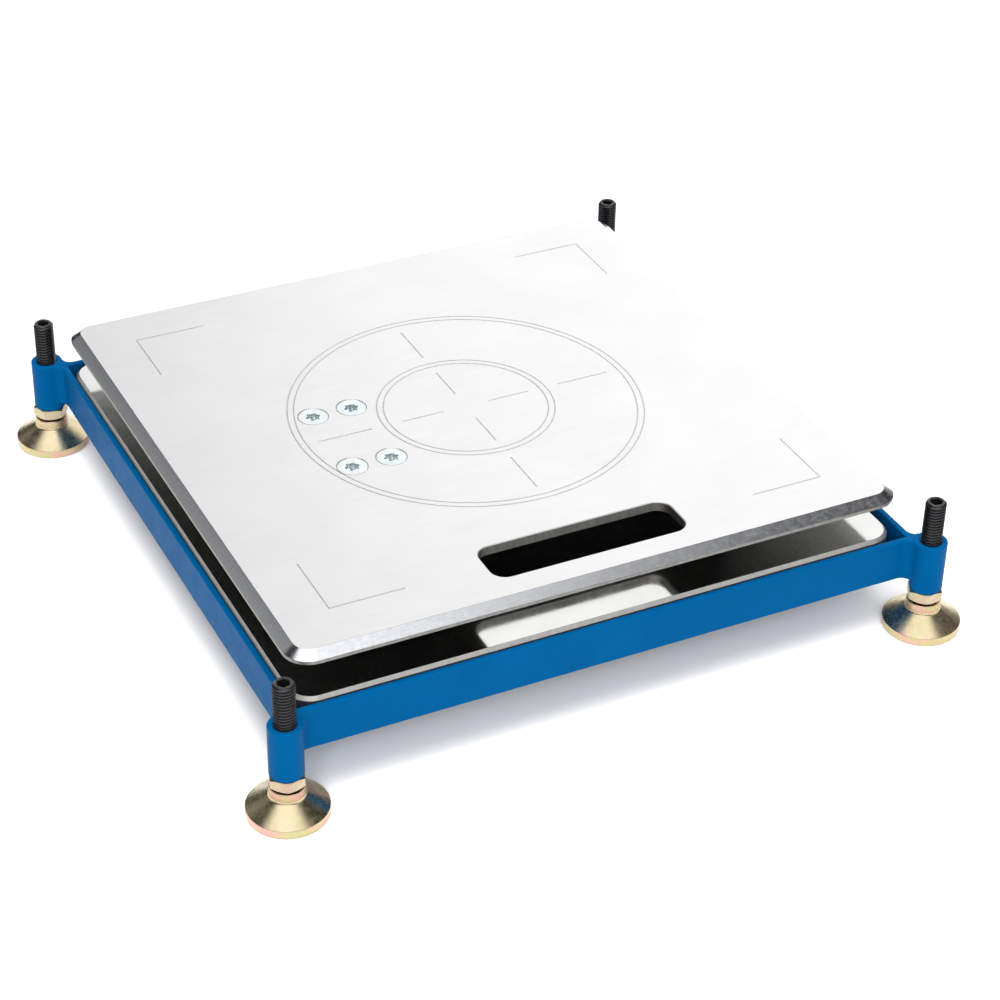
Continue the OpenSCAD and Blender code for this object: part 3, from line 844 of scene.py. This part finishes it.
def make_frame():
    """Four bars, four corners with their welds, and four tubes."""
    outward = {"outer": FRAME_OUT, "inner": FRAME_IN, "ledge": LEDGE}
    sides = {"back": 0, "left": 90, "front": 180, "right": 270}
    ends = []
    for x in (-STRAIGHT, STRAIGHT):
        ends.append({path: ((x, y), (0, 1) if path == "outer" else (0, -1))
                     for path, y in outward.items()})
    bar = sweep("bar", ends)
    for side, turn in sides.items():
        piece = shade(moved(twin(bar, f"frame_{side}_detail"), turn=turn), PAINT_ANGLE)
        fit_out(piece, "frame", "blue_powder_coat", ["frame_" + side])
    bpy.data.objects.remove(bar)
    corner = sweep("corner", corner_stations())
    for n, turn in enumerate((0, 90, 180, 270)):
        piece = merge(f"corner_weld_{n + 1}", [twin(corner, "corner"),
                                               weld_fillet(JACK, JACK, BAR_TOP, True),
                                               weld_fillet(JACK, JACK, BAR_LOW, False)])
        shade(moved(piece, turn=turn), PAINT_ANGLE)
        fit_out(piece, "frame", "blue_powder_coat", ["corner_welds"])
    bpy.data.objects.remove(corner)
    tube_top, tube_base = tube_high.z, tube_low.z
    mouth = 0.6                          # chamfer at the top of the bore
    outline = rounded([(BORE_R, tube_base), (TUBE_R, tube_base), (TUBE_R, tube_top),
                       (BORE_R + mouth, tube_top), (BORE_R, tube_top - mouth)],
                      [0.3, 0.5, 0.7, 0.25, 0.25], 4)
    for key, (x, y) in CORNERS.items():
        piece = shade(revolve(f"tube_{key}_detail", outline, (x * JACK, y * JACK, 0), 72), PAINT_ANGLE)
        fit_out(piece, "frame", "blue_powder_coat", ["tube_" + key])


make_frame()


# ---------------------------------------------------------------- jacks and feet

jack_low, jack_high = box_mm("jack_screw_fr")
SCREW_R = (jack_high.x - jack_low.x) / 2
SCREW_TOP = jack_high.z
PITCH = 25.4 / 13
THREAD_LOW = 20.5                        # where the thread starts above the ball
BALL_Z, BALL_R, NECK_R = 11.0, 5.5, 4.3
SCREW_TURNS = (10, 45, 75, 20)           # degrees each screw is turned by, in the order of CORNERS
NUT_TURNS = (12, 3, -8, 20)


def thread(low, high, radius, steps=48):
    """A right-hand helical thread with a flat crest and root, longer than low to high at both ends."""
    form = [(0.00, 0.0), (0.13, 0.0), (0.47, 1.0), (0.66, 1.0)]      # along the pitch, share of depth
    depth = 0.6 * PITCH
    m = len(form)
    turns = math.ceil((high - low) / PITCH) + 4
    start = low - 2 * PITCH
    points = []
    for k in range(steps):
        a = math.tau * k / steps
        for q in range(turns * m):
            along, share = form[q % m]
            r = radius - depth * share
            z = start + PITCH * (q // m + along + k / steps)
            points.append((r * math.cos(a), r * math.sin(a), z))
    count = turns * m
    faces = []
    for k in range(steps):
        for q in range(count - 1):
            if k + 1 < steps:
                a, b = k * count + q, (k + 1) * count + q
            elif q + m + 1 < count:
                a, b = k * count + q, q + m
            else:
                continue
            faces.append((a, b, b + 1, a + 1))
    bottom = [k * count for k in range(steps)] + [m - j for j in range(m)][:-1]
    top = [k * count + count - 1 for k in range(steps)]
    top += [(steps - 1) * count + count - 1 - j for j in range(1, m + 1)]
    points += [(0, 0, start - PITCH), (0, 0, start + PITCH * (turns + 2))]
    for loop, tip in ((bottom, len(points) - 2), (top, len(points) - 1)):
        faces += [(loop[i], loop[(i + 1) % len(loop)], tip) for i in range(len(loop))]
    return clean(add_mesh("thread", points, faces), 0.0005)


def hex_ring(across, z):
    """A level hexagon round the Z axis, by its size across the flats."""
    r = across / math.sqrt(3)
    return [(r * math.cos(math.radians(60 * k)), r * math.sin(math.radians(60 * k)), z) for k in range(6)]


def make_jack_screws():
    """Threaded screws with chamfered ends, a ball below and a hexagon socket on top."""
    screw = thread(THREAD_LOW, SCREW_TOP, SCREW_R)
    lead, crest_r = 1.2, SCREW_R + 0.01  # the end chamfers, and a radius just outside the crests
    envelope = [(0, THREAD_LOW), (SCREW_R - lead, THREAD_LOW), (crest_r, THREAD_LOW + lead),
                (crest_r, SCREW_TOP - lead), (SCREW_R - lead, SCREW_TOP), (0, SCREW_TOP)]
    carve(screw, revolve("envelope", envelope, steps=64), "INTERSECT")
    ball = [(BALL_R * math.sin(math.radians(a)), BALL_Z - BALL_R * math.cos(math.radians(a)))
            for a in range(0, 129, 8)]
    stem = [p for p in ball if p[0] >= NECK_R or p[1] < BALL_Z]
    stem += [(NECK_R, THREAD_LOW + 1), (0, THREAD_LOW + 1)]
    carve(screw, revolve("stem", stem, steps=48), "UNION")
    key_size = 6.35
    socket = loft("socket", [hex_ring(8.4, SCREW_TOP + 0.6), hex_ring(key_size, SCREW_TOP - 0.45),
                             hex_ring(key_size, SCREW_TOP - 8), hex_ring(0.4, SCREW_TOP - 9.6)])
    carve(screw, socket)
    for (key, (x, y)), turn in zip(CORNERS.items(), SCREW_TURNS):
        piece = moved(twin(screw, f"jack_screw_{key}_detail"), x * JACK, y * JACK, 0, turn)
        shade(piece, 34)
        fit_out(piece, "screw_" + key, "black_oxide_steel", ["jack_screw_" + key])
    bpy.data.objects.remove(screw)


def make_jam_nuts():
    """Hexagon nuts with turned chamfers: 30 degrees at both faces, 45 degrees in the bore."""
    low, high = box_mm("jam_nut_fr")
    flats = high.y - low.y
    bottom, top = low.z, high.z
    nut = loft("nut", [hex_ring(flats, bottom), hex_ring(flats, top)])
    inset = 0.35                         # the round face is this much smaller than the flats
    reach = flats / math.sqrt(3) + 1
    lift = (reach - flats / 2 + inset) * math.tan(math.radians(30))
    envelope = [(0, bottom), (flats / 2 - inset, bottom), (reach, bottom + lift),
                (reach, top - lift), (flats / 2 - inset, top), (0, top)]
    carve(nut, revolve("envelope", envelope, steps=72), "INTERSECT")
    bore_r, mouth_r = 6.25, 7.9
    bore = [(0, bottom - 1), (mouth_r, bottom - 1), (bore_r, bottom + 0.65), (bore_r, top - 0.65),
            (mouth_r, top + 1), (0, top + 1)]
    carve(nut, revolve("bore", bore, steps=48))
    for (key, (x, y)), turn in zip(CORNERS.items(), NUT_TURNS):
        piece = moved(twin(nut, f"jam_nut_{key}_detail"), x * JACK, y * JACK, 0, turn)
        shade(soften(piece, 0.14, angle=22), 40)
        fit_out(piece, "nut_" + key, "yellow_zinc_steel", ["jam_nut_" + key], [SHADED_NUT_ZINC])
    bpy.data.objects.remove(nut)


def make_feet():
    """Turned feet with a rim, a cone and a collar, hollow for the ball. Upright faces are pinker, and
    darker as painted shade.
    """
    low, high = box_mm("foot_fr")
    rim_r = (high.x - low.x) / 2
    top = high.z
    rim_h, collar_r, collar_low = 5.5, 10.15, 13.4
    socket_r, mouth_r = 7.4, 6.0
    under = 0.8                          # depth of the hollow under the foot
    outer = rounded([(15.5, under), (17.0, 0.0), (rim_r - 0.3, 0.0), (rim_r, rim_h),
                     (collar_r, collar_low), (collar_r, top), (mouth_r, top), (mouth_r, top - 2)],
                    [0.3, 0.3, 0.7, 0.5, 1.6, 0.6, 0.4, 0], 4)
    half = math.degrees(math.asin(mouth_r / socket_r))
    angles = [math.radians(half + (180 - half) * k / 12) for k in range(13)]
    socket = [(socket_r * math.sin(a), BALL_Z + socket_r * math.cos(a)) for a in angles]
    outline = outer[:-1] + [(mouth_r, socket[0][1])] + socket[1:] + [(0, under)]
    for key, (x, y) in CORNERS.items():
        foot = shade(revolve(f"foot_{key}_detail", outline, (x * JACK, y * JACK, 0), 96), 40)
        fit_out(foot, "foot_" + key, "yellow_zinc_steel", ["foot_" + key],
                [MATERIALS["yellow_zinc_steel"], RIM_ZINC])
        # Upright faces on the rim and collar take the pinker zinc, darkened as painted shade.
        for face in foot.data.polygons:
            z = face.center.z / MM
            banded = z < rim_h + 0.05 or z > collar_low + 0.8        # on the rim or on the collar
            face.material_index = int(abs(face.normal.z) < 0.7 and banded)


make_jack_screws()
make_jam_nuts()
make_feet()


# ---------------------------------------------------------------- base plate and what stands on it

def make_refined():
    """Pieces whose CAD shape is right: their edges are rounded by their own amount, in millimetres."""
    widths = {"base_plate": 0.35, "load_cell": 0.5, "cell_spacer_upper": 0.2, "cell_spacer_lower": 0.2,
              "gauge_covers": 0.3, "pad_feet": 0.5, "pad_foot_screws": 0.3, "overload_stops": 0.4,
              "stop_nuts": 0.3, "electronics_box": 0.7, "electronics_lid": 0.6, "lid_screws": 0.15,
              "battery_holder": 0.5, "antenna": 0.6, "cable_gland": 0.3, "button_bezel": 0.25,
              "status_lens": 0.3, "power_button": 0.35, "circuit_board": 0.15, "battery_cells": 0.5}
    for node, width in widths.items():
        piece = refined(node, width)
        fit_out(piece, BODY_OF[node], SLOTS[node], [node])
        if node == "base_plate":
            piece.data.materials.append(SATIN_METAL)                # for the chamfer and the upright edge
            for face in piece.data.polygons:
                middle = face.center / MM
                out = max(abs(middle.x - PLATE_X), abs(middle.y))
                face.material_index = int(abs(face.normal.z) < 0.97 and out > plate_half - 12)


make_refined()

# A CAD node that no piece stands for is seen as it is, so the nodes get their materials too.
for node, obj in frame["nodes"].items():
    obj.data.materials.clear()
    obj.data.materials.append(MATERIALS[SLOTS[node]])
